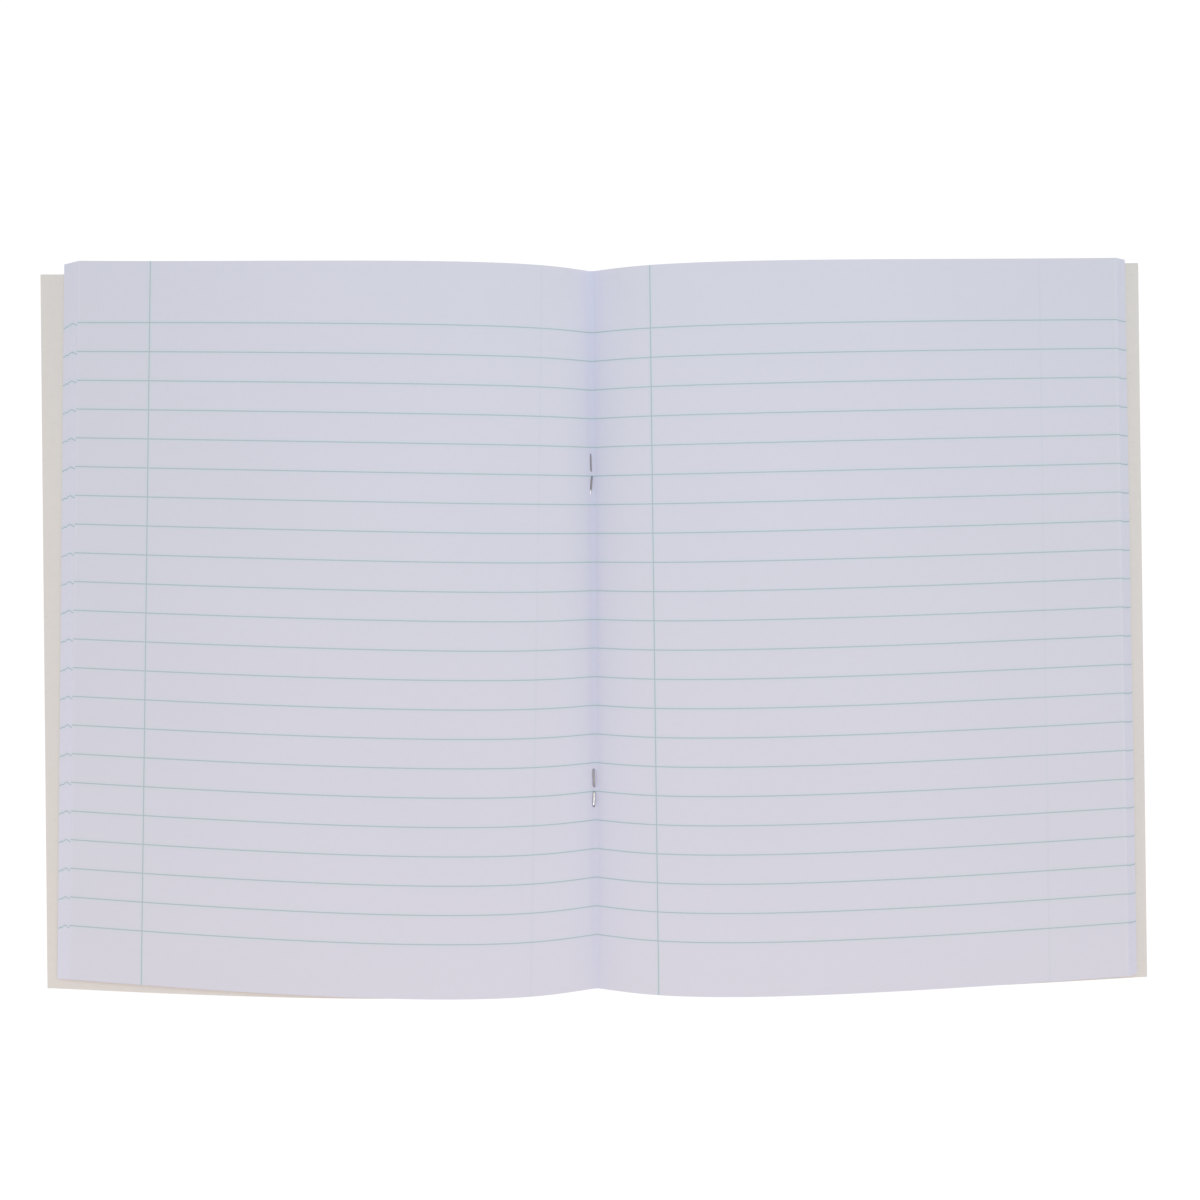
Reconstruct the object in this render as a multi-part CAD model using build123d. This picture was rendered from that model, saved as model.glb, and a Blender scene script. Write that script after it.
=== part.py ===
from build123d import *
import os

# Stapled exercise book lying open at its centre spread.
# Origin at the middle of the spine on the table, +X to the right page, +Y to the head, +Z up.
# Millimetres.

# Paper and card
page_height = 215.9
card_thickness = 0.25
paper_thickness = 0.1
sheet_count = 8

# Staple wire
wire_diameter = 0.5
staple_length = 12.7
staple_leg_gap = 0.9
wire_bend_radius = 0.5
upper_staple_y = 45.7
lower_staple_y = -49.4

# Clearances
wire_clearance = 0.05
leaf_clearance = 0.1
cover_clearance = 0.2
fold_clearance = 0.15
hinge_clearance = 0.1

# How the pile lies: each leaf is wider than the one inside it by the creep, and starts further from the
# middle of the fold by the fold widening. The fold sits a little towards the tail of the cover.
left_creep = 0.6
right_creep = 0.46
fold_widening = 0.1
sheet_slip = 1.04

# Innermost leaf of each side, measured along the paper at its head and tail edges
left_head_width = 157.9
left_tail_width = 161.5
right_head_width = 161.5
right_tail_width = 161.1

# Flat strip of the cover that lies on the table past the outermost leaf
left_head_overhang = 7.3
left_tail_overhang = 3.0
right_head_overhang = 4.4
right_tail_overhang = 3.3

# Curl of a leaf: a Bezier curve from the fold to the fore-edge, drawn by two handles near the fold.
# The rise handle sets how steeply the leaf leaves the fold, the fall handle how high it arches.
rise_reach = 13.8
fall_reach = 27.8

# How far the handles and the fore-edges lie towards the head from where the leaf leaves the fold
rise_drift = -0.35
fall_drift = -1.7
left_edge_drift = 4.6
right_edge_drift = 1.8

# Heights of the handles and fore-edges of the innermost leaves
left_rise_head = 13.7
left_rise_tail = 6.3
left_fall_head = 26.9
left_fall_tail = 22.7
left_edge_head = 3.5
left_edge_tail = 2.3
right_rise_head = 11.3
right_rise_tail = 7.0
right_fall_head = 25.6
right_fall_tail = 19.5
right_edge_head = 3.2
right_edge_tail = 2.7

# How high the outermost leaf and the cover arch, as a share of the innermost leaf's arch
left_head_arch = 0.82
left_tail_arch = 1.0
right_head_arch = 0.94
right_tail_arch = 1.0

# Sizes that follow
wire_radius = wire_diameter / 2
root_reach = wire_radius + fold_clearance
leaf_step = paper_thickness + leaf_clearance
rib_half_width = wire_radius + wire_clearance + card_thickness
rib_top = wire_diameter + wire_clearance + card_thickness
lowest_root = rib_top + leaf_clearance
highest_root = lowest_root + (sheet_count - 1) * leaf_step
lowest_edge = card_thickness + cover_clearance
cover_drop = (sheet_count - 1) * leaf_step + cover_clearance + card_thickness
fold_axis_height = highest_root + paper_thickness + wire_clearance + wire_radius
leg_y = staple_length / 2 - wire_radius
fold_head_y = page_height / 2 - sheet_slip
fold_tail_y = -page_height / 2 - sheet_slip

left_head = {
    "direction": -1,
    "fold_y": fold_head_y,
    "width": left_head_width,
    "creep": left_creep,
    "overhang": left_head_overhang,
    "edge_drift": left_edge_drift,
    "rise": left_rise_head,
    "fall": left_fall_head,
    "edge": left_edge_head,
    "arch": left_head_arch,
}
left_tail = {
    "direction": -1,
    "fold_y": fold_tail_y,
    "width": left_tail_width,
    "creep": left_creep,
    "overhang": left_tail_overhang,
    "edge_drift": left_edge_drift,
    "rise": left_rise_tail,
    "fall": left_fall_tail,
    "edge": left_edge_tail,
    "arch": left_tail_arch,
}
right_head = {
    "direction": 1,
    "fold_y": fold_head_y,
    "width": right_head_width,
    "creep": right_creep,
    "overhang": right_head_overhang,
    "edge_drift": right_edge_drift,
    "rise": right_rise_head,
    "fall": right_fall_head,
    "edge": right_edge_head,
    "arch": right_head_arch,
}
right_tail = {
    "direction": 1,
    "fold_y": fold_tail_y,
    "width": right_tail_width,
    "creep": right_creep,
    "overhang": right_tail_overhang,
    "edge_drift": right_edge_drift,
    "rise": right_rise_tail,
    "fall": right_fall_tail,
    "edge": right_edge_tail,
    "arch": right_tail_arch,
}


def between(low, high, share):
    return low + (high - low) * share


def leaf_curve(number, end):
    """Underside of a leaf along its head or tail edge. Number 1 is the innermost, on top of the pile."""
    outside = number - 1
    direction = end["direction"]
    fold_y = end["fold_y"]
    root_x = root_reach + outside * fold_widening
    length = end["width"] + outside * end["creep"] - root_x
    share = outside / (sheet_count - 1)
    arch = between(1, end["arch"], share)
    edge_height = between(end["edge"], lowest_edge, share)
    reach = end["width"]
    for _ in range(8):
        curve = Bezier(
            (direction * root_x, fold_y, highest_root - outside * leaf_step),
            (direction * rise_reach, fold_y + rise_drift, arch * end["rise"] - outside * leaf_step),
            (direction * fall_reach, fold_y + fall_drift, arch * end["fall"] - outside * leaf_step),
            (direction * reach, fold_y + end["edge_drift"], edge_height),
        )
        reach -= curve.length - length
    return curve


def cover_curve(root_x, end):
    """Underside of the cover along its head or tail edge, from the spine down to the table."""
    touch_x = (leaf_curve(sheet_count, end) @ 1).X
    return Bezier(
        (end["direction"] * root_x, end["fold_y"], 0),
        (end["direction"] * rise_reach, end["fold_y"], end["arch"] * end["rise"] - cover_drop),
        (end["direction"] * fall_reach, end["fold_y"], end["arch"] * end["fall"] - cover_drop),
        (touch_x, end["fold_y"] + sheet_slip, 0),
    )


def ruled_sheet(head_curve, tail_curve, thickness):
    """A thin sheet whose underside runs straight from its head curve to its tail curve."""
    underside = Face.make_surface_from_curves(head_curve.edge(), tail_curve.edge())
    return extrude(underside, thickness, dir=(0, 0, 1))


def make_leaf(number, head, tail):
    return ruled_sheet(leaf_curve(number, head), leaf_curve(number, tail), paper_thickness)


def make_panel(root_x, head, tail):
    """Half of the cover: arched over the table from the spine, then flat on it along the fore-edge."""
    head_curve = cover_curve(root_x, head)
    tail_curve = cover_curve(root_x, tail)
    head_touch = head_curve @ 1
    tail_touch = tail_curve @ 1
    head_corner = head_touch + Vector(head["direction"] * head["overhang"], 0, 0)
    tail_corner = tail_touch + Vector(tail["direction"] * tail["overhang"], 0, 0)
    strip_outline = make_face(Polyline(head_touch, head_corner, tail_corner, tail_touch, close=True))
    strip = extrude(strip_outline, card_thickness, dir=(0, 0, 1))
    return ruled_sheet(head_curve, tail_curve, card_thickness) + strip


def spine_strip():
    """Flat strip of card between the two halves of the cover."""
    on_table = (Align.CENTER, Align.CENTER, Align.MIN)
    return Pos(0, -sheet_slip, 0) * Box(2 * rib_half_width, page_height, card_thickness, align=on_table)


def staple_rib(y):
    """Card pushed up over a staple's crown."""
    rib_length = staple_length + 2 * (wire_clearance + card_thickness)
    return Pos(0, y, 0) * Box(
        2 * rib_half_width, rib_length, rib_top, align=(Align.CENTER, Align.CENTER, Align.MIN)
    )


def staple_room(y):
    """The room that a staple's crown and legs take in the card."""
    on_table = (Align.CENTER, Align.CENTER, Align.MIN)
    groove_width = wire_diameter + 2 * wire_clearance
    groove_length = staple_length + 2 * wire_clearance
    groove = Box(groove_width, groove_length, wire_diameter + wire_clearance, align=on_table)
    hole = Cylinder(wire_radius + wire_clearance, rib_top, align=on_table)
    return Pos(0, y, 0) * (groove + Pos(0, leg_y, 0) * hole + Pos(0, -leg_y, 0) * hole)


def make_front_cover():
    return make_panel(rib_half_width + hinge_clearance, left_head, left_tail)


def make_back_cover():
    """Back half of the cover with the spine strip, through which the staples pass."""
    cover = make_panel(rib_half_width, right_head, right_tail) + spine_strip()
    for y in (upper_staple_y, lower_staple_y):
        cover = cover + staple_rib(y)
        cover = cover - staple_room(y)
    return cover


def make_staple(y):
    """Wire staple: crown under the cover, legs up through the fold, ends clinched towards each other."""
    tip_y = staple_leg_gap / 2
    route = FilletPolyline(
        (0, y + tip_y, fold_axis_height),
        (0, y + leg_y, fold_axis_height),
        (0, y + leg_y, wire_radius),
        (0, y - leg_y, wire_radius),
        (0, y - leg_y, fold_axis_height),
        (0, y - tip_y, fold_axis_height),
        radius=wire_bend_radius,
    )
    start = Plane(origin=route @ 0, z_dir=route % 0)
    return sweep(start * Circle(wire_radius), path=route)


parts = {
    "front_cover": make_front_cover(),
    "back_cover": make_back_cover(),
    "upper_staple": make_staple(upper_staple_y),
    "lower_staple": make_staple(lower_staple_y),
}
for number in range(1, sheet_count + 1):
    parts[f"left_leaf_{number:02d}"] = make_leaf(number, left_head, left_tail)
    parts[f"right_leaf_{number:02d}"] = make_leaf(number, right_head, right_tail)

os.makedirs("parts", exist_ok=True)
for name, solid in parts.items():
    export_step(solid, f"parts/{name}.step")
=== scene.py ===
import math

import bpy
import numpy as np
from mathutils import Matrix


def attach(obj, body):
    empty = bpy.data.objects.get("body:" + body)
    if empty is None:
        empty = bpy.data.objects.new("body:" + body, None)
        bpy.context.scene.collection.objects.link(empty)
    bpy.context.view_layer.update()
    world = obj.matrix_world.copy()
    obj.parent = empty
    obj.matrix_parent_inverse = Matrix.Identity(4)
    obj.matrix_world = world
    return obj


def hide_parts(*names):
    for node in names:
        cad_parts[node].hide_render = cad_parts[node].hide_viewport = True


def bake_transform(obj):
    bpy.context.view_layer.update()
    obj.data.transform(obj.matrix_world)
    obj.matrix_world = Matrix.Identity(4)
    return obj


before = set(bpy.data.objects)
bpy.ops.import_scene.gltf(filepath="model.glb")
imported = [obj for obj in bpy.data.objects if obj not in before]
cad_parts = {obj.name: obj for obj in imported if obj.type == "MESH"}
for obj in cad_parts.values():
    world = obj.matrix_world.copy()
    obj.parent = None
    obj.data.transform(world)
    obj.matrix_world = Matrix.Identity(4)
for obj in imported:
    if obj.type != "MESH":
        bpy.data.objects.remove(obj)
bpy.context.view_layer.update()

# Lengths below are in millimetres unless a comment says otherwise, and MM turns them into the scene's metres.
MM = 0.001

# Paper and card
SHEET_COUNT = 8
PAGE_HEIGHT = 215.9
PAPER_THICKNESS = 0.1
CARD_THICKNESS = 0.25

# Height of the innermost fold, the step down to each fold below it, and the closer step past the folds
HIGHEST_FOLD = 2.29
FOLD_STEP = 0.2
PILE_STEP = 0.12

# How far the folds slip towards the tail, and how far they lean to the right at the head
SHEET_SLIP = 1.04
FOLD_SKEW = 0.37

# The crease along the fold: its depth and width at shares of the way from head to tail
CREASE_PLACES = (0.0, 0.05, 0.25, 0.5, 0.86, 1.0)
CREASE_DEPTHS = (0.0, 0.08, 0.20, 0.45, 0.45, 0.25)
CREASE_WIDTHS = (0.80, 1.20, 1.30, 1.30, 1.30, 0.45)

# The rounded bottom of the crease, and the slight ridge in the middle of it
CREASE_ROUNDING = 0.6
RIDGE_HEIGHT = 0.12
RIDGE_WIDTH = 0.5

# How far from the middle of the fold the second leaf starts, and how much further each leaf below it does
ROOT_REACH = 0.06
ROOT_STEP = 0.1

# How far off the leaves start beside a staple, so that they can turn, and how far along that room closes
STAPLE_ROOM = 1.15
ROOM_CLOSES_FROM = 12.0
ROOM_CLOSES_TO = 30.0

# Curl of a leaf: a Bezier curve from the fold to the fore-edge with a rise handle and a fall handle
RISE_REACH = 13.83
FALL_REACH = 27.82

# Height of the outermost leaf's fore-edge
LOW_EDGE = 0.62

# How often a leaf's reach is corrected to bring its curve to the right length
LENGTH_PASSES = 8

# How far the cover's handles are below a leaf's, and how roundly it leaves the spine and meets the table
COVER_DROP = 1.25
SPINE_ROUNDING = 0.6
LANDING_EASE = 0.5

# The power by which the cover's head and tail edges drift on the way to the fore-edge
COVER_BOW = 1.9

# The card pushed up over a staple's crown: height, half width at top and foot, and its ends past the crown
RIB_HEIGHT = 0.5
RIB_TOP_REACH = 0.34
RIB_FOOT_REACH = 1.1
RIB_END_FROM = 0.3
RIB_END_TO = 1.3

# How deep into the page the hollow of the trimmed head and tail edges reaches
TRIM_DEPTH = 17.0

# Brings the deepest point of the hollow's curve to 1
HOLLOW_SCALE = 6.75

# Grids: rows from head to tail and steps out from the fold, with a power that crowds the steps at the fold
TOP_LEAF_GRID = (64, 120)
LOWER_LEAF_GRID = (28, 72)
COVER_GRID = (48, 90)
FOLD_CROWDING = 1.5

# Steps of the outermost leaf's edge when the cover is fitted to it, and of the cover's strip past that edge
OUTER_EDGE_STEPS = 60
LANDING_STEPS = 12

# The cover's closer rows beside each staple: count and reach, and the decimals at which equal rows merge
RIB_ROWS = 52
RIB_ROWS_REACH = 8.5
ROW_DECIMALS = 3

# Degrees past which an edge of the mesh is sharp
SHEET_SHARP_ANGLE = 40
WIRE_SHARP_ANGLE = 50

# How far the ruling of each leaf is printed towards the head, from the innermost leaf to the outermost
LEFT_PRINT_SHIFTS = (0.0, -0.6, -0.2, 0.05, -0.2, -0.6, -0.6, -0.9)
RIGHT_PRINT_SHIFTS = (0.0, -0.1, -0.3, -0.15, -0.35, -0.2, -0.35, -0.2)

# The two sides of the spread. The drifts of the handles and the fore-edge are towards the head.
# The slip is how far each leaf's fore-edge lies towards the tail past the leaf above it.
LEFT_LEAVES = {
    "name": "left_leaf",
    "direction": -1,
    "drifts": (-0.29, -1.57, 4.61),
    "creep": 0.58,
    "slip": 0.03,
    "print_shifts": LEFT_PRINT_SHIFTS,
    "head": {"width": 157.95, "rise": 13.66, "fall": 26.89, "edge": 3.49, "arch": 0.82, "trim_bow": 0.40},
    "tail": {"width": 161.61, "rise": 6.30, "fall": 22.71, "edge": 1.98, "arch": 1.0, "trim_bow": 0.1},
    "cover_head": {"reach": 166.33, "drift": 1.50, "arch": 0.82},
    "cover_tail": {"reach": 166.72, "drift": 1.42, "arch": 1.0},
}
RIGHT_LEAVES = {
    "name": "right_leaf",
    "direction": 1,
    "drifts": (-0.42, -1.90, 1.90),
    "creep": 0.475,
    "slip": -0.015,
    "print_shifts": RIGHT_PRINT_SHIFTS,
    "head": {"width": 161.51, "rise": 11.29, "fall": 25.63, "edge": 3.23, "arch": 0.94, "trim_bow": 0.33},
    "tail": {"width": 161.15, "rise": 6.99, "fall": 19.54, "edge": 2.71, "arch": 1.0, "trim_bow": 0.30},
    "cover_head": {"reach": 165.8, "drift": 1.06, "arch": 0.86},
    "cover_tail": {"reach": 165.95, "drift": 0.95, "arch": 1.0},
}

# Ruling, measured on the flat page: lines from the head edge, margins from the fore-edge
FIRST_LINE = 18.53
LINE_PITCH = 8.627
LINE_COUNT = 22
LINE_WIDTH = 0.29
LINE_SOFTNESS = 0.08
BLEED_REACH = 1.06
LEFT_PAGE_MARGIN = 23.4
RIGHT_PAGE_MARGIN = 142.0

# Margins on the backs of those pages, which show through faintly
LEFT_BACK_MARGIN = 140.8
RIGHT_BACK_MARGIN = 25.0
GHOST_WIDTH = 0.6
GHOST_SOFTNESS = 0.5

# The painted highlight along the trimmed rim of the fore-edge, and how light it is on the innermost leaf and
# on the leaves below it, where it also lifts the shade between the fanned edges
EDGE_HIGHLIGHT_WIDTH = 0.8
EDGE_HIGHLIGHT_SOFTNESS = 0.5
TOP_EDGE_HIGHLIGHT = 0.35
FAN_EDGE_HIGHLIGHT = 1.0

# How far in from the fore-edge the painted shade of the light's falloff reaches into the page
FALLOFF_SHADE_REACH = 75.0

# How far down from the head the painted light beside the fold is stronger and the painted shade in the crease
# lighter
FOLD_LIGHT_REACH = 50.0

# How far the painted shade along the fold reaches out of the crease, as a multiple of the crease's width
FOLD_SHADE_REACH = 2.3

# Staple wire
STAPLE_HALF_LENGTH = 6.1
WIRE_HALF_WIDTH = 0.23
WIRE_HALF_HEIGHT = 0.21
WIRE_RADIUS = (WIRE_HALF_WIDTH + WIRE_HALF_HEIGHT) / 2
WIRE_SIDES = 16
ROUTE_STEPS = 10

# How far round the wire the top of a clinched leg is
WIRE_TOP = 1.5 * math.pi * WIRE_RADIUS

# Height of the crown, and how far to the side of the fold's middle the legs are clinched
CROWN_HEIGHT = 0.22
STAPLE_OFFSET = -0.5

# How thick a leg's tip is, as a share of the wire, and the length over which it tapers
TIP_SHARE = 0.55
TIP_TAPER = 0.45

# The heights between which a leg turns into its flattened, clinched end
CLINCH_FROM = 1.9
CLINCH_TO = 2.3

# The two staples. Pairs are for the upper and the lower leg.
# The leans are the sideways places of the upper leg's tip and root and the lower leg's root and tip.
# The reaches are how far from the middle the roots come up, and the flattening widens the clinched ends.
# The shine is the stretch with a painted highlight, measured from the tip of the lower leg.
# Both staples' patch colours are darkened as a painted reflection of dark surroundings, and those of the
# lower staple are lighter.
STAPLES = {
    "upper_staple": {
        "place": 45.9,
        "leans": (-0.08, -0.2, -0.32, 0.2),
        "reaches": (6.4, 6.15),
        "flattening": (1.0, 1.12),
        "shine": (4.2, 5.3),
        "dull_patch_and_reflection_colour": (0.14, 0.132, 0.145, 1.0),
        "light_patch_and_reflection_colour": (0.31, 0.292, 0.325, 1.0),
    },
    "lower_staple": {
        "place": -49.05,
        "leans": (0.05, -0.05, -0.15, 0.05),
        "reaches": (6.2, 5.4),
        "flattening": (1.25, 1.25),
        "shine": (0.3, 4.0),
        "dull_patch_and_reflection_colour": (0.19, 0.18, 0.20, 1.0),
        "light_patch_and_reflection_colour": (0.39, 0.37, 0.405, 1.0),
    },
}


def lerp(low, high, share):
    return low + (high - low) * share


def smooth_step(low, high, value):
    share = np.clip((value - low) / (high - low), 0.0, 1.0)
    return share * share * (3.0 - 2.0 * share)


# Node helpers

# Sockets of the colour Mix node
MIX_SHARE = 0
MIX_FIRST = 6
MIX_SECOND = 7
MIX_RESULT = 2

# Settings of a noise with fine grain in it
GRAINY = {"detail": 3.0, "roughness": 0.6}


def add_node(tree, kind, **settings):
    node = tree.nodes.new(kind)
    for key, value in settings.items():
        setattr(node, key, value)
    return node


def feed(tree, socket, value):
    """Links a socket to another one, or sets it to a plain number or colour."""
    if isinstance(value, bpy.types.NodeSocket):
        tree.links.new(value, socket)
    else:
        socket.default_value = value


def math_node(tree, operation, *values, clamp=False):
    """A Math node whose inputs are sockets or plain numbers. Returns its output socket."""
    node = add_node(tree, "ShaderNodeMath", operation=operation, use_clamp=clamp)
    for socket, value in zip(node.inputs, values):
        feed(tree, socket, value)
    return node.outputs[0]


def mix_colours(tree, share, first, second, blend="MIX"):
    """A colour Mix node whose inputs are sockets, numbers or colours. Returns its output socket."""
    node = add_node(tree, "ShaderNodeMix", data_type="RGBA", blend_type=blend)
    feed(tree, node.inputs[MIX_SHARE], share)
    feed(tree, node.inputs[MIX_FIRST], first)
    feed(tree, node.inputs[MIX_SECOND], second)
    return node.outputs[MIX_RESULT]


def noise(tree, vector, scale, detail=2.0, roughness=0.5, stretch=(1.0, 1.0, 1.0)):
    """A noise value of about 0.5 on average. The scale is in features to the metre."""
    mapping = add_node(tree, "ShaderNodeMapping")
    mapping.inputs["Scale"].default_value = stretch
    tree.links.new(vector, mapping.inputs["Vector"])
    texture = add_node(tree, "ShaderNodeTexNoise")
    texture.inputs["Scale"].default_value = scale
    texture.inputs["Detail"].default_value = detail
    texture.inputs["Roughness"].default_value = roughness
    tree.links.new(mapping.outputs["Vector"], texture.inputs["Vector"])
    return texture.outputs["Fac"]


def split_vector(tree, vector):
    """The first two values of a vector."""
    split = add_node(tree, "ShaderNodeSeparateXYZ")
    tree.links.new(vector, split.inputs["Vector"])
    return split.outputs["X"], split.outputs["Y"]


def gap_between(tree, first, second):
    return math_node(tree, "ABSOLUTE", math_node(tree, "SUBTRACT", first, second))


def fade_out(tree, distance, reach):
    """1 at no distance, falling to 0 at the reach."""
    return math_node(tree, "MULTIPLY_ADD", distance, -1.0 / (reach * MM), 1.0, clamp=True)


def soft_edge(tree, inside, softness):
    """1 inside an edge and 0 outside it, from how far inside a point is."""
    return math_node(tree, "MULTIPLY_ADD", inside, 1.0 / (softness * MM), 0.5, clamp=True)


def stripe(tree, distance, half_width, softness):
    """1 on a line and 0 off it, from the distance to its middle."""
    inside = math_node(tree, "SUBTRACT", half_width * MM, distance)
    return soft_edge(tree, inside, softness)


def start_group(name, vector, numbers, results):
    """A shader node group with a vector input, number inputs and number outputs.
    Returns the tree, its input node and its output node."""
    tree = bpy.data.node_groups.new(name, "ShaderNodeTree")
    tree.interface.new_socket(vector, in_out="INPUT", socket_type="NodeSocketVector")
    for label in numbers:
        tree.interface.new_socket(label, in_out="INPUT", socket_type="NodeSocketFloat")
    for label in results:
        tree.interface.new_socket(label, in_out="OUTPUT", socket_type="NodeSocketFloat")
    return tree, add_node(tree, "NodeGroupInput"), add_node(tree, "NodeGroupOutput")


def place_group(tree, group, **values):
    """Adds a node group, with its inputs by name, and returns its outputs."""
    node = add_node(tree, "ShaderNodeGroup", node_tree=group)
    for label, value in values.items():
        feed(tree, node.inputs[label.replace("_", " ")], value)
    return node.outputs


def start_material(name):
    material = bpy.data.materials.new(name)
    material.use_nodes = True
    tree = material.node_tree
    return material, tree, tree.nodes["Principled BSDF"]


def start_empty(owner, output_kind):
    """The cleared node tree of a material or world, with a new output node."""
    owner.use_nodes = True
    tree = owner.node_tree
    tree.nodes.clear()
    return tree, add_node(tree, output_kind)


def surface_place(tree, uv_map):
    """Where a point lies on its piece, by one of the piece's UV maps."""
    return add_node(tree, "ShaderNodeUVMap", uv_map=uv_map).outputs["UV"]


def seen_rays(tree):
    """1 for the rays that show a thing, straight or in a reflection, and 0 for those that carry its light."""
    rays = add_node(tree, "ShaderNodeLightPath")
    seen = math_node(tree, "ADD", rays.outputs["Is Camera Ray"], rays.outputs["Is Glossy Ray"])
    return math_node(tree, "ADD", seen, rays.outputs["Is Transmission Ray"], clamp=True)


def dress_shader(tree, shader, colour, dulling, roughness, relief, bump):
    """Links the colour, roughness and relief of a surface to its shader.
    The roughness is its base and how much the dulling adds, and the bump its strength and depth."""
    base, added = roughness
    strength, depth = bump
    tree.links.new(colour, shader.inputs["Base Color"])
    tree.links.new(math_node(tree, "MULTIPLY_ADD", dulling, added, base), shader.inputs["Roughness"])
    node = add_node(tree, "ShaderNodeBump")
    node.inputs["Strength"].default_value = strength
    node.inputs["Distance"].default_value = depth * MM
    tree.links.new(relief, node.inputs["Height"])
    tree.links.new(node.outputs["Normal"], shader.inputs["Normal"])


# Shared effects

# Paper and card: features to the metre, and how the fibres are drawn out
CLOUD_SCALE = 22.0
MOTTLE_SCALE = 420.0
ALONG_SCALE = 1500.0
ALONG_STRETCH = (0.3, 1.0, 1.0)
ACROSS_SCALE = 1700.0
ACROSS_STRETCH = (1.0, 0.35, 1.0)

# The noise values that leave the tone as it is, and the mottle's share of the relief
NOISE_MIDDLE = 0.5
FIBRE_MIDDLE = 0.56
MOTTLE_RELIEF = 0.6

# How densely the ink lies: features to the metre, how much it varies, and its lowest
INK_SCALE = 900.0
INK_CHANGE = 0.5
INK_LOWEST = 0.72

# The painted shade along the fold: how fast it falls beside the crease, and the shares of the crease and of
# its sides
BESIDE_FALL = 0.22
CREASE_SHARE = 0.6
BESIDE_SHARE = 0.4

# Wire: features to the metre, and how scratches are drawn out along it
SCRATCH_SCALE = 900.0
SCRATCH_STRETCH = (0.05, 6.0, 1.0)
PATCH_SCALE = 500.0

# The stretch with a painted highlight: its half width, its soft sides and ends, and how it wanders round the
# wire
SHINE_HALF_WIDTH = 0.11
SHINE_SIDE_SOFTNESS = 0.04
SHINE_END_SOFTNESS = 0.2
SHINE_WANDER = 0.16
WANDER_SCALE = 700.0
WANDER_STRETCH = (1.0, 0.0, 1.0)


def make_fibre_group():
    """Cloudy tone and fine fibres of uncoated paper and card."""
    weights = ("Cloud", "Mottle", "Fibre")
    tree, enter, leave = start_group("paper_fibres", "Sheet", weights, ("Tone", "Height"))
    sheet = enter.outputs["Sheet"]
    cloud = noise(tree, sheet, CLOUD_SCALE)
    mottle = noise(tree, sheet, MOTTLE_SCALE, **GRAINY)
    along = noise(tree, sheet, ALONG_SCALE, stretch=ALONG_STRETCH, **GRAINY)
    across = noise(tree, sheet, ACROSS_SCALE, stretch=ACROSS_STRETCH, **GRAINY)
    fibre = math_node(tree, "MAXIMUM", along, across)
    layers = (
        ("Cloud", cloud, NOISE_MIDDLE),
        ("Mottle", mottle, NOISE_MIDDLE),
        ("Fibre", fibre, FIBRE_MIDDLE),
    )
    tone = 1.0
    for weight, value, middle in layers:
        offset = math_node(tree, "SUBTRACT", value, middle)
        tone = math_node(tree, "MULTIPLY_ADD", offset, enter.outputs[weight], tone)
    tree.links.new(tone, leave.inputs["Tone"])
    height = math_node(tree, "MULTIPLY_ADD", mottle, MOTTLE_RELIEF, fibre)
    tree.links.new(height, leave.inputs["Height"])
    return tree


def make_ruling_group():
    """Printed lines and margin of a page, the margin on its back, the band along the fore-edge that takes a
    painted highlight, the painted shade towards the fore-edge and the head, and how near the head a point is,
    where the painted light beside the fold is stronger.
    A place on the page is in metres from the fore-edge and from the head."""
    results = ("Ink", "Bleed", "Ghost", "Edge Band", "Age", "Near Head")
    tree, enter, leave = start_group("page_ruling", "Sheet", ("Margin", "Ghost Margin"), results)
    from_edge, from_head = split_vector(tree, enter.outputs["Sheet"])

    pitch = LINE_PITCH * MM
    steps = math_node(tree, "MULTIPLY_ADD", from_head, 1.0 / pitch, 0.5 - FIRST_LINE / LINE_PITCH)
    part = math_node(tree, "SUBTRACT", steps, math_node(tree, "FLOOR", steps))
    after_first = math_node(tree, "GREATER_THAN", steps, 0.0)
    before_last = math_node(tree, "LESS_THAN", steps, float(LINE_COUNT))
    ruled = math_node(tree, "MULTIPLY", after_first, before_last)
    line_off = math_node(tree, "MULTIPLY", gap_between(tree, part, 0.5), pitch)
    margin_off = gap_between(tree, from_edge, enter.outputs["Margin"])

    line = stripe(tree, line_off, LINE_WIDTH / 2, LINE_SOFTNESS)
    line = math_node(tree, "MULTIPLY", line, ruled)
    margin = stripe(tree, margin_off, LINE_WIDTH / 2, LINE_SOFTNESS)
    ink = math_node(tree, "MAXIMUM", line, margin)
    density = noise(tree, enter.outputs["Sheet"], INK_SCALE)
    density = math_node(tree, "MULTIPLY_ADD", density, INK_CHANGE, INK_LOWEST, clamp=True)
    tree.links.new(math_node(tree, "MULTIPLY", ink, density), leave.inputs["Ink"])

    line_bleed = math_node(tree, "MULTIPLY", fade_out(tree, line_off, BLEED_REACH), ruled)
    margin_bleed = fade_out(tree, margin_off, BLEED_REACH)
    tree.links.new(math_node(tree, "MAXIMUM", line_bleed, margin_bleed), leave.inputs["Bleed"])

    ghost_off = gap_between(tree, from_edge, enter.outputs["Ghost Margin"])
    tree.links.new(stripe(tree, ghost_off, GHOST_WIDTH / 2, GHOST_SOFTNESS), leave.inputs["Ghost"])
    # The band along the fore-edge that takes a painted highlight
    tree.links.new(stripe(tree, from_edge, EDGE_HIGHLIGHT_WIDTH, EDGE_HIGHLIGHT_SOFTNESS), leave.inputs["Edge Band"])
    # Painted shade for the light's falloff, darker towards the fore-edge and the head
    age = fade_out(tree, from_edge, FALLOFF_SHADE_REACH)
    before_tail = fade_out(tree, from_head, PAGE_HEIGHT)
    tree.links.new(math_node(tree, "MULTIPLY", age, before_tail), leave.inputs["Age"])
    # Near the head the painted light beside the fold is stronger
    tree.links.new(fade_out(tree, from_head, FOLD_LIGHT_REACH), leave.inputs["Near Head"])
    return tree


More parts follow.
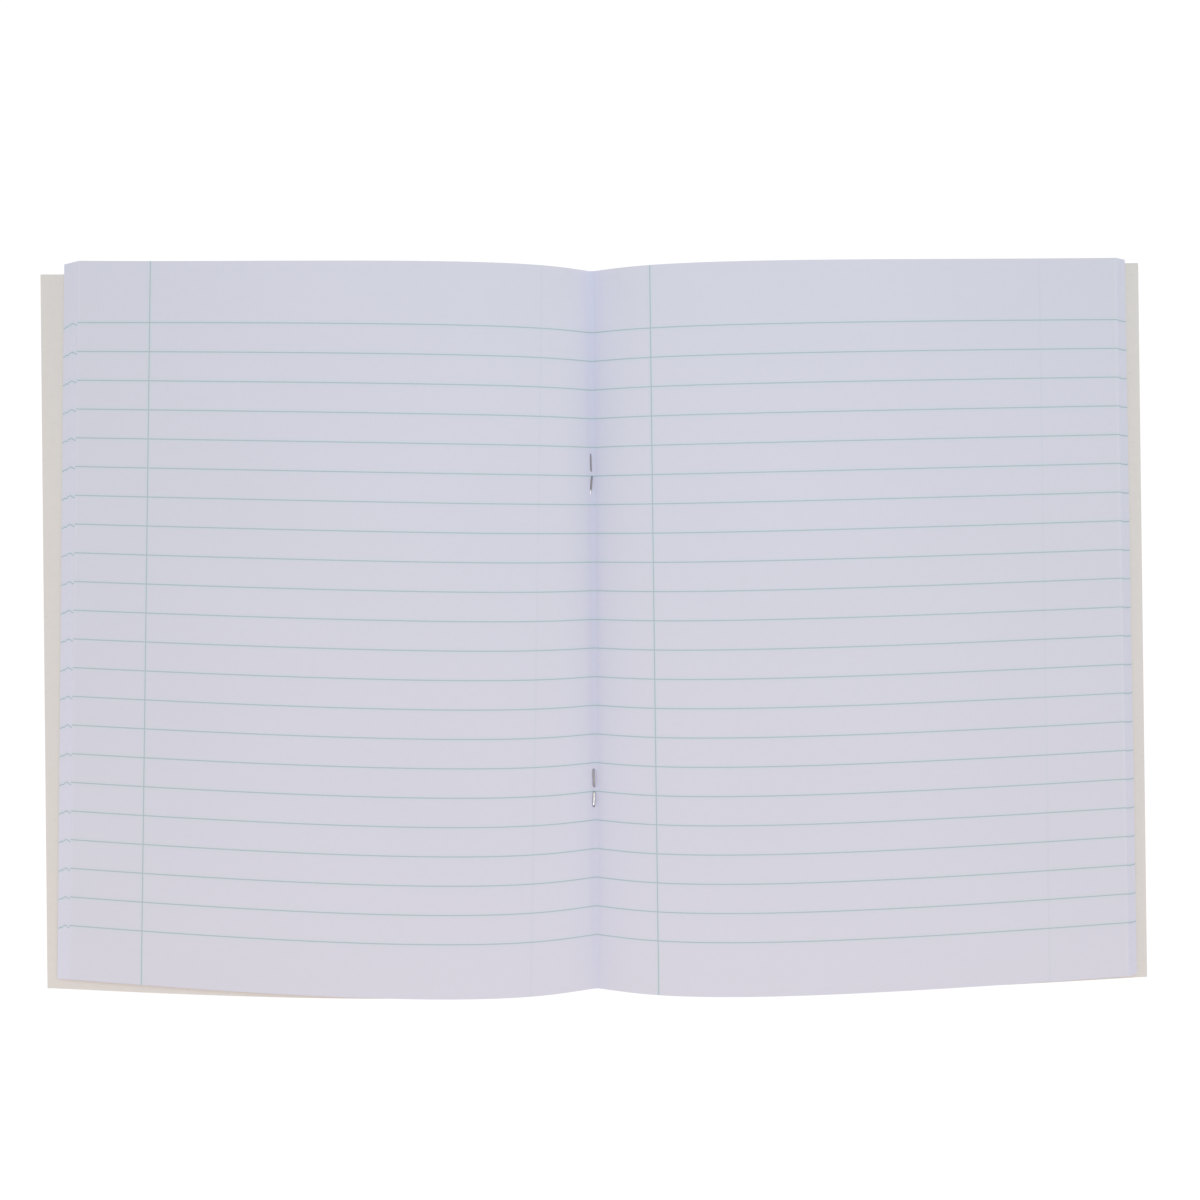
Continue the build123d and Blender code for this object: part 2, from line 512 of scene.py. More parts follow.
def make_fold_group():
    """Painted shade along the fold, strongest in the crease, the paper beside the fold, which takes painted
    light, and how strong the painted highlight on the leaf's rim is."""
    tree, enter, leave = start_group("fold_painted_light_and_shade", "Fold", (), ("Crease Shade", "Beside", "Edge Highlight"))
    from_fold, rim = split_vector(tree, enter.outputs["Fold"])
    crease = math_node(tree, "SUBTRACT", 1.0, from_fold, clamp=True)
    crease = math_node(tree, "MULTIPLY", crease, CREASE_SHARE)
    beside = math_node(tree, "MULTIPLY_ADD", from_fold, -BESIDE_FALL, 1.0, clamp=True)
    tree.links.new(math_node(tree, "MULTIPLY_ADD", beside, BESIDE_SHARE, crease), leave.inputs["Crease Shade"])
    # Beside the fold, where painted light goes
    tree.links.new(beside, leave.inputs["Beside"])
    # How strong the painted highlight on the leaf's rim is
    tree.links.new(rim, leave.inputs["Edge Highlight"])
    return tree


def make_wire_group():
    """Wear of drawn wire, scratches along it and duller patches, and a painted highlight in a stretch along
    its top.
    """
    results = ("Scratches", "Patches", "Shine")
    tree, enter, leave = start_group("wire_wear_and_highlight", "Wire", ("Shine From", "Shine To"), results)
    wire = enter.outputs["Wire"]
    scratches = noise(tree, wire, SCRATCH_SCALE, stretch=SCRATCH_STRETCH, **GRAINY)
    tree.links.new(scratches, leave.inputs["Scratches"])
    tree.links.new(noise(tree, wire, PATCH_SCALE), leave.inputs["Patches"])
    from_tip, around = split_vector(tree, wire)
    after = math_node(tree, "SUBTRACT", from_tip, enter.outputs["Shine From"])
    before = math_node(tree, "SUBTRACT", enter.outputs["Shine To"], from_tip)
    along = soft_edge(tree, math_node(tree, "MINIMUM", after, before), SHINE_END_SOFTNESS)
    wander = noise(tree, wire, WANDER_SCALE, detail=1.0, stretch=WANDER_STRETCH)
    lowest = WIRE_TOP * MM - SHINE_WANDER / 2 * MM
    middle = math_node(tree, "MULTIPLY_ADD", wander, SHINE_WANDER * MM, lowest)
    aside = gap_between(tree, around, middle)
    across = stripe(tree, aside, SHINE_HALF_WIDTH, SHINE_SIDE_SOFTNESS)
    tree.links.new(math_node(tree, "MULTIPLY", along, across), leave.inputs["Shine"])
    return tree


# Materials

PAPER_COLOUR = (0.656, 0.646, 0.731, 1.0)
INK_COLOUR = (0.405, 0.485, 0.53, 1.0)
BLEED_TINT = (0.929, 1.0, 0.961, 1.0)
# Painted shade in the crease along the fold
FOLD_SHADE_TINT = (0.945, 0.955, 0.985, 1.0)
# Painted light beside the fold, lighter than the paper
FOLD_LIGHT_COLOUR = (0.705, 0.694, 0.805, 1.0)
# Painted shade, darker and cooler towards the fore-edge and the head
FALLOFF_SHADE_TINT = (0.972, 0.983, 0.982, 1.0)
GHOST_COLOUR = (0.60, 0.62, 0.69, 1.0)
# Painted highlight along the rim of the fore-edge, lighter than the paper
EDGE_HIGHLIGHT_COLOUR = (0.69, 0.685, 0.78, 1.0)

# How much painted light lies beside the fold all along it, and how much more at the head, where the painted
# shade in the crease is lighter
FOLD_LIGHT_ALONG_FOLD = 0.3
FOLD_LIGHT_AT_HEAD = 0.7
FOLD_SHADE_LOST_AT_HEAD = 0.6

# How clearly the margin on the back shows through
GHOST_SHARE = 0.45

# Flecks in the card: features to the metre, how they are drawn out, and which part of the noise they take
FLECK_SCALE = 700.0
FLECK_STRETCH = (0.45, 1.0, 1.0)
FLECK_CONTRAST = 9.0
FLECK_OFFSET = -5.9

# The colour of the painted highlight on the wire, and the scratched wire's lowest tone and how much the
# scratches change it
PAINTED_HIGHLIGHT_COLOUR = (0.87, 0.87, 0.92, 1.0)
SCRATCH_LOWEST = 0.8
SCRATCH_CHANGE = 0.35

# The table: its own grey, how much light it throws back, and what is added to that where it is seen
TABLE_COLOUR = (0.12, 0.12, 0.12, 1.0)
TABLE_GLOW = 0.5
TABLE_SEEN_GLOW = 0.43
WHITE = (1.0, 1.0, 1.0, 1.0)


def make_page_material(name, margin, back_margin):
    """Ruled writing paper."""
    material, tree, shader = start_material(name)
    sheet = surface_place(tree, "page")
    fibres = place_group(tree, fibre_group, Sheet=sheet, Cloud=0.03, Mottle=0.025, Fibre=0.04)
    margins = {"Margin": margin * MM, "Ghost_Margin": back_margin * MM}
    ruling = place_group(tree, ruling_group, Sheet=sheet, **margins)
    fold = place_group(tree, fold_group, Fold=surface_place(tree, "fold"))
    # Painted highlight along the leaf's rim, stronger on the fanned leaves below the top one
    rim = math_node(tree, "MULTIPLY", ruling["Edge Band"], fold["Edge Highlight"])
    # Painted light beside the fold, stronger near the head
    fold_light = math_node(tree, "MULTIPLY_ADD", ruling["Near Head"], FOLD_LIGHT_AT_HEAD, FOLD_LIGHT_ALONG_FOLD)
    fold_light = math_node(tree, "MULTIPLY", fold_light, fold["Beside"])
    ghost = math_node(tree, "MULTIPLY", ruling["Ghost"], GHOST_SHARE)
    # Painted shade in the crease, lighter near the head
    paler = math_node(tree, "MULTIPLY_ADD", ruling["Near Head"], -FOLD_SHADE_LOST_AT_HEAD, 1.0)
    crease_shade = math_node(tree, "MULTIPLY", fold["Crease Shade"], paler)
    # Over the paper go painted shade towards the fore-edge and the head, a painted highlight on the rim,
    # painted light beside the fold and painted shade in the crease, among the paper's own tones and print
    layers = (
        (ruling["Age"], FALLOFF_SHADE_TINT, "MULTIPLY"),
        (rim, EDGE_HIGHLIGHT_COLOUR, "MIX"),
        (fold_light, FOLD_LIGHT_COLOUR, "MIX"),
        (ghost, GHOST_COLOUR, "MIX"),
        (ruling["Bleed"], BLEED_TINT, "MULTIPLY"),
        (crease_shade, FOLD_SHADE_TINT, "MULTIPLY"),
        (1.0, fibres["Tone"], "MULTIPLY"),
        (ruling["Ink"], INK_COLOUR, "MIX"),
    )
    colour = PAPER_COLOUR
    for share, layer, blend in layers:
        colour = mix_colours(tree, share, colour, layer, blend)
    shader.inputs["Specular IOR Level"].default_value = 0.2
    height = fibres["Height"]
    dress_shader(tree, shader, colour, height, roughness=(0.78, 0.08), relief=height, bump=(0.12, 0.04))
    return material


def make_card_material(name, colour, fleck_colour, fleck_share):
    """Uncoated cover card with small darker flecks."""
    material, tree, shader = start_material(name)
    sheet = surface_place(tree, "page")
    fibres = place_group(tree, fibre_group, Sheet=sheet, Cloud=0.05, Mottle=0.06, Fibre=0.07)
    flecks = noise(tree, sheet, FLECK_SCALE, stretch=FLECK_STRETCH)
    flecks = math_node(tree, "MULTIPLY_ADD", flecks, FLECK_CONTRAST, FLECK_OFFSET, clamp=True)
    flecks = math_node(tree, "MULTIPLY", flecks, fleck_share)
    colour = mix_colours(tree, flecks, colour, fleck_colour)
    colour = mix_colours(tree, 1.0, colour, fibres["Tone"], "MULTIPLY")
    shader.inputs["Specular IOR Level"].default_value = 0.25
    height = fibres["Height"]
    dress_shader(tree, shader, colour, height, roughness=(0.72, 0.1), relief=height, bump=(0.2, 0.06))
    return material


def make_wire_material(name, staple):
    """Drawn steel wire of one of the staples. Its tones are darkened as a painted reflection, and it carries
    a painted highlight.
    """
    material, tree, shader = start_material(name)
    shine_from, shine_to = staple["shine"]
    shine = {"Shine_From": shine_from * MM, "Shine_To": shine_to * MM}
    wear = place_group(tree, wire_group, Wire=surface_place(tree, "wire"), **shine)
    patches = wear["Patches"]
    scratches = wear["Scratches"]
    # Patches of wear between two tones that are darkened as a painted reflection
    colour = mix_colours(tree, patches, staple["dull_patch_and_reflection_colour"], staple["light_patch_and_reflection_colour"])
    scratched = math_node(tree, "MULTIPLY_ADD", scratches, SCRATCH_CHANGE, SCRATCH_LOWEST)
    colour = mix_colours(tree, 1.0, colour, scratched, "MULTIPLY")
    # A painted highlight along the top of the wire
    colour = mix_colours(tree, wear["Shine"], colour, PAINTED_HIGHLIGHT_COLOUR)
    shader.inputs["Metallic"].default_value = 1.0
    dress_shader(tree, shader, colour, patches, roughness=(0.2, 0.25), relief=scratches, bump=(0.25, 0.02))
    return material


def make_table_material():
    """White table that keeps the shadow. It shows white to the camera and in reflections, and throws some
    light back at the edges and the underside of the book."""
    material = bpy.data.materials.new("white_table")
    tree, out = start_empty(material, "ShaderNodeOutputMaterial")
    matt = add_node(tree, "ShaderNodeBsdfDiffuse")
    matt.inputs["Color"].default_value = TABLE_COLOUR
    glow = add_node(tree, "ShaderNodeEmission")
    glow.inputs["Color"].default_value = WHITE
    strength = math_node(tree, "MULTIPLY_ADD", seen_rays(tree), TABLE_SEEN_GLOW, TABLE_GLOW)
    tree.links.new(strength, glow.inputs["Strength"])
    both = add_node(tree, "ShaderNodeAddShader")
    tree.links.new(matt.outputs["BSDF"], both.inputs[0])
    tree.links.new(glow.outputs["Emission"], both.inputs[1])
    tree.links.new(both.outputs["Shader"], out.inputs["Surface"])
    return material


fibre_group = make_fibre_group()
ruling_group = make_ruling_group()
fold_group = make_fold_group()
wire_group = make_wire_group()
left_page = {
    "left_leaf": make_page_material("left_page_of_left_leaf", LEFT_PAGE_MARGIN, LEFT_BACK_MARGIN),
    "right_leaf": make_page_material("left_page_of_right_leaf", RIGHT_BACK_MARGIN, RIGHT_PAGE_MARGIN),
}
right_page = {
    "left_leaf": make_page_material("right_page_of_left_leaf", LEFT_BACK_MARGIN, LEFT_PAGE_MARGIN),
    "right_leaf": make_page_material("right_page_of_right_leaf", RIGHT_PAGE_MARGIN, RIGHT_BACK_MARGIN),
}
cover_inside = make_card_material(
    "cover_inside", (0.703, 0.662, 0.636, 1.0), fleck_colour=(0.58, 0.53, 0.49, 1.0), fleck_share=0.3
)
cover_outside = make_card_material(
    "cover_outside", (0.60, 0.56, 0.50, 1.0), fleck_colour=(0.42, 0.37, 0.31, 1.0), fleck_share=0.5
)
staple_wire = {node: make_wire_material(f"{node}_wire", staple) for node, staple in STAPLES.items()}
white_table = make_table_material()


# Meshes


def add_object(name, data):
    """A new object in the scene, from a mesh, a lamp or a camera."""
    thing = bpy.data.objects.new(name, data)
    bpy.context.scene.collection.objects.link(thing)
    return thing


def make_mesh(name, points, faces, slots, materials, places, sharp_angle):
    """A smooth mesh from points in millimetres. The slots give each face its material, and the places are
    UV maps with a pair of values for each point."""
    mesh = bpy.data.meshes.new(name)
    mesh.from_pydata((points * MM).tolist(), [], faces)
    for material in materials:
        mesh.materials.append(material)
    mesh.polygons.foreach_set("material_index", slots)
    mesh.polygons.foreach_set("use_smooth", np.ones(len(faces), bool))
    corners = np.zeros(len(mesh.loops), np.int32)
    mesh.loops.foreach_get("vertex_index", corners)
    for label, place in places.items():
        layer = mesh.uv_layers.new(name=label)
        layer.data.foreach_set("uv", place[corners].astype(np.float32).ravel())
    mesh.update()
    mesh.set_sharp_from_angle(angle=math.radians(sharp_angle))
    return mesh


def thin_sheet(name, under, thickness, places, materials, flip):
    """A closed thin sheet over a grid of points, with UV maps that say where a point lies on it.
    The first material is on the upper side and the trimmed rim, the second on the underside."""
    rows, columns = under.shape[:2]
    count = rows * columns
    over = under + np.array((0.0, 0.0, thickness))
    points = np.concatenate([over.reshape(-1, 3), under.reshape(-1, 3)])
    index = np.arange(count).reshape(rows, columns)
    upper = np.stack([index[:-1, :-1], index[1:, :-1], index[1:, 1:], index[:-1, 1:]], -1).reshape(-1, 4)
    ring = np.concatenate([index[:-1, 0], index[-1, :-1], index[:0:-1, -1], index[0, :0:-1]])
    after = np.roll(ring, -1)
    rim = np.stack([ring, ring + count, after + count, after], -1)
    if flip:
        upper = upper[:, ::-1]
        rim = rim[:, ::-1]
    faces = np.concatenate([upper, rim, upper[:, ::-1] + count])
    slots = np.zeros(len(faces), np.int32)
    slots[len(upper) + len(rim):] = 1
    both_sides = {label: np.tile(grid.reshape(-1, 2), (2, 1)) for label, grid in places.items()}
    mesh = make_mesh(name, points, faces.tolist(), slots, materials, both_sides, SHEET_SHARP_ANGLE)
    return add_object(name, mesh)


def step_lengths(points):
    """How long the steps between the points of a line are."""
    return np.linalg.norm(np.diff(points, axis=-2), axis=-1)


def length_along(points):
    """How far along its line each point lies."""
    steps = step_lengths(points)
    start = np.zeros(steps.shape[:-1] + (1,))
    return np.concatenate([start, steps.cumsum(-1)], -1)


def crowded_shares(steps):
    """Shares of the way along a curve, closer together at the fold."""
    return np.linspace(0.0, 1.0, steps + 1)[:, None] ** FOLD_CROWDING


def bezier(handles, t):
    """Points of a Bezier curve at the shares t."""
    weights = ((1 - t) ** 3, 3 * t * (1 - t) ** 2, 3 * t * t * (1 - t), t ** 3)
    return sum(weight * np.array(handle) for weight, handle in zip(weights, handles))


def rounded_reach(reach, rounding):
    """A reach from the fold that sets out gently, so that what depends on it has a rounded bottom there."""
    return np.hypot(reach, rounding) - rounding


def round_bottom(curve, rounding):
    """Rounds a curve where it leaves the fold."""
    curve[:, 2] = np.interp(rounded_reach(curve[:, 0], rounding), curve[:, 0], curve[:, 2])


def leaf_edge(side, end, number, steps):
    """Underside of a leaf along its head or tail edge, from the fold outwards: reach, drift, height."""
    sizes = side[end]
    outside = number - 1
    pile_share = outside / (SHEET_COUNT - 1)
    arch = lerp(1.0, sizes["arch"], pile_share)
    width = sizes["width"] + outside * side["creep"]
    rise_drift, fall_drift, edge_drift = side["drifts"]
    t = crowded_shares(steps)
    reach = width
    for _ in range(LENGTH_PASSES):
        handles = (
            (0.0, 0.0, HIGHEST_FOLD - outside * FOLD_STEP),
            (RISE_REACH, rise_drift, arch * sizes["rise"] - outside * PILE_STEP),
            (FALL_REACH, fall_drift, arch * sizes["fall"] - outside * PILE_STEP),
            (reach, edge_drift - outside * side["slip"], lerp(sizes["edge"], LOW_EDGE, pile_share)),
        )
        curve = bezier(handles, t)
        reach -= step_lengths(curve).sum() - width
    round_bottom(curve, CREASE_ROUNDING)
    return curve


def crease_dip(reach, share):
    """How far the paper dips at a reach from the fold, at a share of the way from head to tail."""
    depth = np.interp(share, CREASE_PLACES, CREASE_DEPTHS)
    width = np.interp(share, CREASE_PLACES, CREASE_WIDTHS)
    dip = depth * np.exp(-rounded_reach(reach, CREASE_ROUNDING) / width)
    return dip - RIDGE_HEIGHT * np.exp(-(reach / RIDGE_WIDTH) ** 2)


def trim_hollow(side, share, across):
    """How far a point moves towards the tail because the head and tail edges are trimmed slightly hollow."""
    near_head = np.maximum(0.0, 1.0 - share * PAGE_HEIGHT / TRIM_DEPTH)
    near_tail = np.maximum(0.0, 1.0 - (1.0 - share) * PAGE_HEIGHT / TRIM_DEPTH)
    hollow = side["head"]["trim_bow"] * near_head - side["tail"]["trim_bow"] * near_tail
    return hollow * HOLLOW_SCALE * across ** 2 * (1.0 - across)


def leaf_root(number, fold_y):
    """How far from the middle of the fold a leaf starts. The innermost leaf reaches it."""
    if number == 1:
        return np.zeros(fold_y.shape)
    root = np.full(fold_y.shape, ROOT_REACH + (number - 2) * ROOT_STEP)
    for staple in STAPLES.values():
        off = np.abs(fold_y - staple["place"])
        beside = 1.0 - smooth_step(ROOM_CLOSES_FROM, ROOM_CLOSES_TO, off)
        root = np.maximum(root, STAPLE_ROOM * beside)
    return root


def start_at_root(curve, root):
    """The rows of a leaf, shortened at the fold so that each starts at its root."""
    rows = []
    for row, start in zip(curve, root[:, 0]):
        reach = start + row[:, 0] * (1.0 - start / row[-1, 0])
        rows.append(np.stack([np.interp(reach, row[:, 0], row[:, axis]) for axis in range(3)], -1))
    return np.array(rows)


def make_leaf(side, number):
    """One leaf of the pile. Number 1 is the innermost, on top."""
    top_leaf = number == 1
    on_left = side["direction"] < 0
    rows, steps = TOP_LEAF_GRID if top_leaf else LOWER_LEAF_GRID
    head = leaf_edge(side, "head", number, steps)
    tail = leaf_edge(side, "tail", number, steps)
    share = np.linspace(0.0, 1.0, rows + 1)[:, None]
    curve = lerp(head[None], tail[None], share[:, :, None])
    curve[:, :, 2] -= crease_dip(curve[:, :, 0], share)
    fold_y = PAGE_HEIGHT / 2 - SHEET_SLIP - share * PAGE_HEIGHT
    curve = start_at_root(curve, leaf_root(number, fold_y))
    reach, drift, height = np.moveaxis(curve, -1, 0)

    along = length_along(curve)
    trim = trim_hollow(side, share, along / along[:, -1:])
    skew = FOLD_SKEW * fold_y / (PAGE_HEIGHT / 2) * (1.0 - reach / reach[:, -1:])
    under = np.stack([side["direction"] * reach + skew, fold_y - trim + drift, height], -1)

    from_edge = along[:, -1:] - along
    from_head = share * PAGE_HEIGHT + trim + side["print_shifts"][number - 1]
    # How far into the painted shade along the fold a point is
    from_fold = along / (FOLD_SHADE_REACH * np.interp(share, CREASE_PLACES, CREASE_WIDTHS))
    # How strong the painted highlight along the leaf's rim is
    rim = np.full(from_fold.shape, TOP_EDGE_HIGHLIGHT if top_leaf else FAN_EDGE_HIGHLIGHT)
    places = {
        "page": np.stack([from_edge, from_head], -1) * MM,
        "fold": np.stack([from_fold, rim], -1),
    }
    upper, lower = (left_page, right_page) if on_left else (right_page, left_page)
    materials = (upper[side["name"]], lower[side["name"]])
    node = f"{side['name']}_{number:02d}"
    leaf = thin_sheet(f"{node}_paper", under, PAPER_THICKNESS, places, materials, flip=on_left)
    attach(leaf, node)
    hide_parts(node)


def cover_edge(side, end):
    """Underside of the cover along its head or tail edge, from the spine outwards: reach, drift, height."""
    sizes = side[end]
    rim = side[f"cover_{end}"]
    touch = leaf_edge(side, end, SHEET_COUNT, OUTER_EDGE_STEPS)[-1, 0]
    fall_handle = np.array((FALL_REACH, 0.0, rim["arch"] * sizes["fall"] - COVER_DROP))
    touch_point = np.array((touch, 0.0, 0.0))
    handles = (
        (0.0, 0.0, 0.0),
        (RISE_REACH, 0.0, rim["arch"] * sizes["rise"] - COVER_DROP),
        fall_handle,
        touch_point,
    )
    arch = bezier(handles, crowded_shares(COVER_GRID[1]))
    round_bottom(arch, SPINE_ROUNDING)
    past = np.linspace(0.0, rim["reach"] - touch, LANDING_STEPS + 1)[1:, None]
    landing = touch_point + past * (touch_point - fall_handle) / (touch - FALL_REACH)
    curve = np.concatenate([arch, landing])
    curve[:, 1] = rim["drift"] * (curve[:, 0] / rim["reach"]) ** COVER_BOW
    eased = (curve[:, 2] + np.hypot(curve[:, 2], LANDING_EASE)) / 2
    curve[:, 2] = np.where(curve[:, 0] > touch / 2, eased, curve[:, 2])
    return curve


def rib_lift(under):
    """How far the card is pushed up by the staples' crowns."""
    lift = np.zeros(under.shape[:2])
    for staple in STAPLES.values():
        sideways = 1.0 - smooth_step(RIB_TOP_REACH, RIB_FOOT_REACH, np.abs(under[:, :, 0]))
        end_from = STAPLE_HALF_LENGTH + RIB_END_FROM
        end_to = STAPLE_HALF_LENGTH + RIB_END_TO
        ends = 1.0 - smooth_step(end_from, end_to, np.abs(under[:, :, 1] - staple["place"]))
        lift = np.maximum(lift, sideways * ends)
    return lift * RIB_HEIGHT


def make_cover():
    """The folded card in one sheet: arched like the leaves, flat on the table along its fore-edges, and
    pushed up over the staples' crowns. It bends beside the spine strip."""
    fold_y = PAGE_HEIGHT / 2 - SHEET_SLIP
    rows = [np.linspace(fold_y - PAGE_HEIGHT, fold_y, COVER_GRID[0] + 1)]
    for staple in STAPLES.values():
        place = staple["place"]
        rows.append(np.linspace(place - RIB_ROWS_REACH, place + RIB_ROWS_REACH, RIB_ROWS))
    y = np.unique(np.concatenate(rows).round(ROW_DECIMALS))[::-1]
    share = ((fold_y - y) / PAGE_HEIGHT)[:, None, None]
    halves = []
    for side in (LEFT_LEAVES, RIGHT_LEAVES):
        half = lerp(cover_edge(side, "head")[None], cover_edge(side, "tail")[None], share)
        half[:, :, 0] *= side["direction"]
        half[:, :, 1] += y[:, None]
        halves.append(half)
    under = np.concatenate([halves[0][:, ::-1], halves[1][:, 1:]], axis=1)
    under[:, :, 2] += rib_lift(under)
    places = {"page": under[:, :, :2] * MM}
    materials = (cover_inside, cover_outside)
    cover = thin_sheet("cover_card", under, CARD_THICKNESS, places, materials, flip=False)
    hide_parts("front_cover", "back_cover")
    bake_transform(cover)


def smooth_path(points, steps):
    """A smooth line through the given points, with the given number of steps between each two."""
    points = np.array(points)
    padded = np.concatenate([2 * points[:1] - points[1:2], points, 2 * points[-1:] - points[-2:-1]])
    t = np.linspace(0.0, 1.0, steps, endpoint=False)[:, None]
    runs = []
    for before, start, end, after in zip(padded, padded[1:], padded[2:], padded[3:]):
        runs.append(
            0.5
            * (
                2 * start
                + (end - before) * t
                + (2 * before - 5 * start + 4 * end - after) * t ** 2
                + (3 * start - before - 3 * end + after) * t ** 3
            )
        )
    return np.concatenate(runs + [points[-1:]])


def leg_route(tip, root, reach, direction):
    """Points along one leg, from its tip to the crown: sideways, along the fold from the middle, and up."""
    half = STAPLE_HALF_LENGTH
    clinched_end = [
        (tip, 0.62, 2.34),
        (lerp(tip, root, 0.4), 2.4, 2.48),
        (lerp(tip, root, 0.8), reach - 1.2, 2.46),
        (root, reach - 0.3, 2.24),
    ]
    through_fold = [
        (root, reach, 1.8),
        (lerp(root, 0.0, 0.6), half, 1.2),
        (0.0, half - 0.04, 0.55),
    ]
    into_crown = [
        (0.0, half - 0.45, 0.24),
        (0.0, half - 1.4, CROWN_HEIGHT),
    ]
    return [(x, direction * y, z) for x, y, z in clinched_end + through_fold + into_crown]


def staple_path(sizes):
    """The middle of the wire, from the tip of the upper leg to that of the lower one."""
    fold_x = FOLD_SKEW * sizes["place"] / (PAGE_HEIGHT / 2) + STAPLE_OFFSET
    upper_tip, upper_root, lower_root, lower_tip = (fold_x + lean for lean in sizes["leans"])
    upper_reach, lower_reach = sizes["reaches"]
    upper_leg = leg_route(upper_tip, upper_root, upper_reach, 1)
    lower_leg = leg_route(lower_tip, lower_root, lower_reach, -1)
    crown_middle = (0.0, 0.0, CROWN_HEIGHT)
    route = upper_leg + [crown_middle] + lower_leg[::-1]
    return smooth_path(route, ROUTE_STEPS) + np.array((0.0, sizes["place"], 0.0))


def unit_vectors(vectors):
    return vectors / np.linalg.norm(vectors, axis=1)[:, None]


def make_staple(node, sizes):
    """Wire staple: crown under the cover, legs up through the fold, ends clinched towards each other."""
    path = staple_path(sizes)
    forward = unit_vectors(np.gradient(path, axis=0))
    sideways = np.tile((1.0, 0.0, 0.0), (len(path), 1))
    sideways = unit_vectors(sideways - (sideways * forward).sum(1)[:, None] * forward)
    upright = np.cross(forward, sideways)

    length = length_along(path)
    from_lower_tip = length[-1] - length
    taper = lerp(TIP_SHARE, 1.0, smooth_step(0.0, TIP_TAPER, np.minimum(length, from_lower_tip)))
    upper_flattening, lower_flattening = sizes["flattening"]
    flattening = np.where(path[:, 1] > sizes["place"], upper_flattening, lower_flattening)
    half_width = WIRE_HALF_WIDTH * lerp(1.0, flattening, smooth_step(CLINCH_FROM, CLINCH_TO, path[:, 2]))
    turn = np.linspace(0.0, 2 * math.pi, WIRE_SIDES, endpoint=False)
    ring = half_width[:, None, None] * np.cos(turn)[None, :, None] * sideways[:, None]
    ring = ring + WIRE_HALF_HEIGHT * np.sin(turn)[None, :, None] * upright[:, None]
    points = (path[:, None] + ring * taper[:, None, None]).reshape(-1, 3)

    index = np.arange(len(points)).reshape(-1, WIRE_SIDES)
    beside = np.roll(index, -1, axis=1)
    faces = np.stack([index[:-1], beside[:-1], beside[1:], index[1:]], -1).reshape(-1, 4).tolist()
    faces.append(index[0, ::-1].tolist())
    faces.append(index[-1].tolist())
    slots = np.zeros(len(faces), np.int32)
    girth = turn * WIRE_RADIUS
    on_wire = np.stack(np.broadcast_arrays(from_lower_tip[:, None], girth[None]), -1)
    places = {"wire": on_wire.reshape(-1, 2) * MM}
    mesh = make_mesh(node, points, faces, slots, (staple_wire[node],), places, WIRE_SHARP_ANGLE)
    staple = add_object(f"{node}_wire", mesh)
    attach(staple, "back_half")
    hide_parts(node)


make_cover()
for leaves in (LEFT_LEAVES, RIGHT_LEAVES):
    for leaf_number in range(1, SHEET_COUNT + 1):
        make_leaf(leaves, leaf_number)
for staple_node, staple_sizes in STAPLES.items():
    make_staple(staple_node, staple_sizes)


# Table, light and camera

# The table's half size in metres, and how far it lies below the book
TABLE_HALF_SIZE = 6.0
TABLE_DROP = 0.05

# The pale surroundings as a light, and as they are seen
SKY_COLOUR = (0.865, 0.875, 1.0, 1.0)
SKY_STRENGTH = 0.66
SEEN_SKY_STRENGTH = 1.0

# The softboxes at the two sides: size in metres, watts and colour
SIDE_SOFTBOX = {"size": (0.8, 1.0), "power": 6.3, "colour": (1.0, 0.94, 0.55)}

# The camera: its height and place over the table, its roll in degrees, and the width of table that it sees
CAMERA_HEIGHT = 400.0
CAMERA_PLACE = (1.8, 7.92)
CAMERA_ROLL = 0.675
FRAME_WIDTH = 363.34
SENSOR_WIDTH = 36.0
CLIP_START = 10.0


def make_table():
    half = TABLE_HALF_SIZE
    level = -TABLE_DROP * MM
    corners = [(-half, -half, level), (half, -half, level), (half, half, level), (-half, half, level)]
    mesh = bpy.data.meshes.new("table")
    mesh.from_pydata(corners, [], [(0, 1, 2, 3)])
    mesh.materials.append(white_table)
    table = add_object("table", mesh)


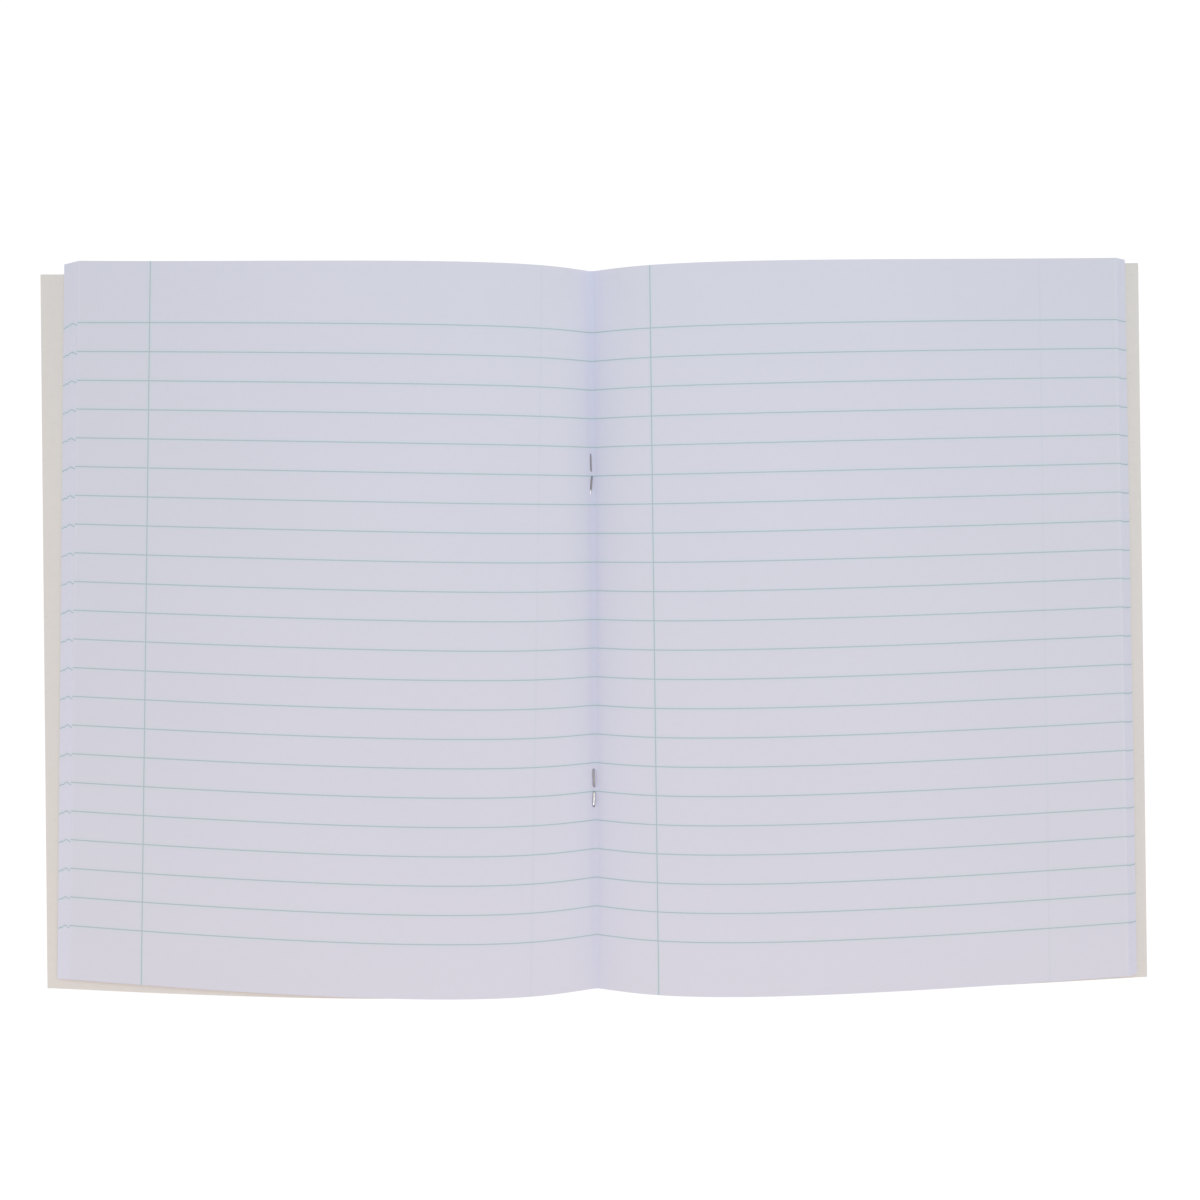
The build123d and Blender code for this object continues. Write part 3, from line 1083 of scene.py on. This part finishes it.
def make_softbox(name, place, size, power, colour):
    """A lamp at a place in metres, turned to the middle of the book."""
    lamp = bpy.data.lights.new(name, "AREA")
    lamp.shape = "RECTANGLE"
    lamp.size, lamp.size_y = size
    lamp.energy = power
    lamp.color = colour
    softbox = add_object(name, lamp)
    softbox.location = place
    direction = -softbox.location
    softbox.rotation_euler = direction.to_track_quat("-Z", "Y").to_euler()


def make_world():
    """Pale surroundings that light softly, and show white behind the table."""
    world = bpy.data.worlds.new("studio")
    bpy.context.scene.world = world
    tree, out = start_empty(world, "ShaderNodeOutputWorld")
    soft = add_node(tree, "ShaderNodeBackground")
    soft.inputs["Color"].default_value = SKY_COLOUR
    soft.inputs["Strength"].default_value = SKY_STRENGTH
    white = add_node(tree, "ShaderNodeBackground")
    white.inputs["Color"].default_value = WHITE
    white.inputs["Strength"].default_value = SEEN_SKY_STRENGTH
    mix = add_node(tree, "ShaderNodeMixShader")
    tree.links.new(seen_rays(tree), mix.inputs["Fac"])
    tree.links.new(soft.outputs["Background"], mix.inputs[1])
    tree.links.new(white.outputs["Background"], mix.inputs[2])
    tree.links.new(mix.outputs["Shader"], out.inputs["Surface"])


def make_camera():
    """Straight above the spread."""
    optics = bpy.data.cameras.new("camera")
    optics.sensor_fit = "HORIZONTAL"
    optics.sensor_width = SENSOR_WIDTH
    optics.lens = SENSOR_WIDTH * CAMERA_HEIGHT / FRAME_WIDTH
    optics.clip_start = CLIP_START * MM
    camera = add_object("camera", optics)
    camera.location = (CAMERA_PLACE[0] * MM, CAMERA_PLACE[1] * MM, CAMERA_HEIGHT * MM)
    camera.rotation_euler = (0.0, 0.0, -math.radians(CAMERA_ROLL))
    bpy.context.scene.camera = camera


make_table()
make_world()
make_softbox("left_softbox", (-1.36, 0.0, 0.634), **SIDE_SOFTBOX)
make_softbox("right_softbox", (1.36, 0.0, 0.634), **SIDE_SOFTBOX)
make_softbox("front_softbox", (0.0, -0.30, 0.42), size=(0.5, 0.15), power=0.58, colour=(1.0, 0.80, 0.72))
make_softbox("back_softbox", (0.04, 0.25, 0.38), size=(0.3, 0.15), power=0.30, colour=(0.50, 0.92, 1.0))
make_camera()
bpy.context.scene.view_settings.view_transform = "Standard"
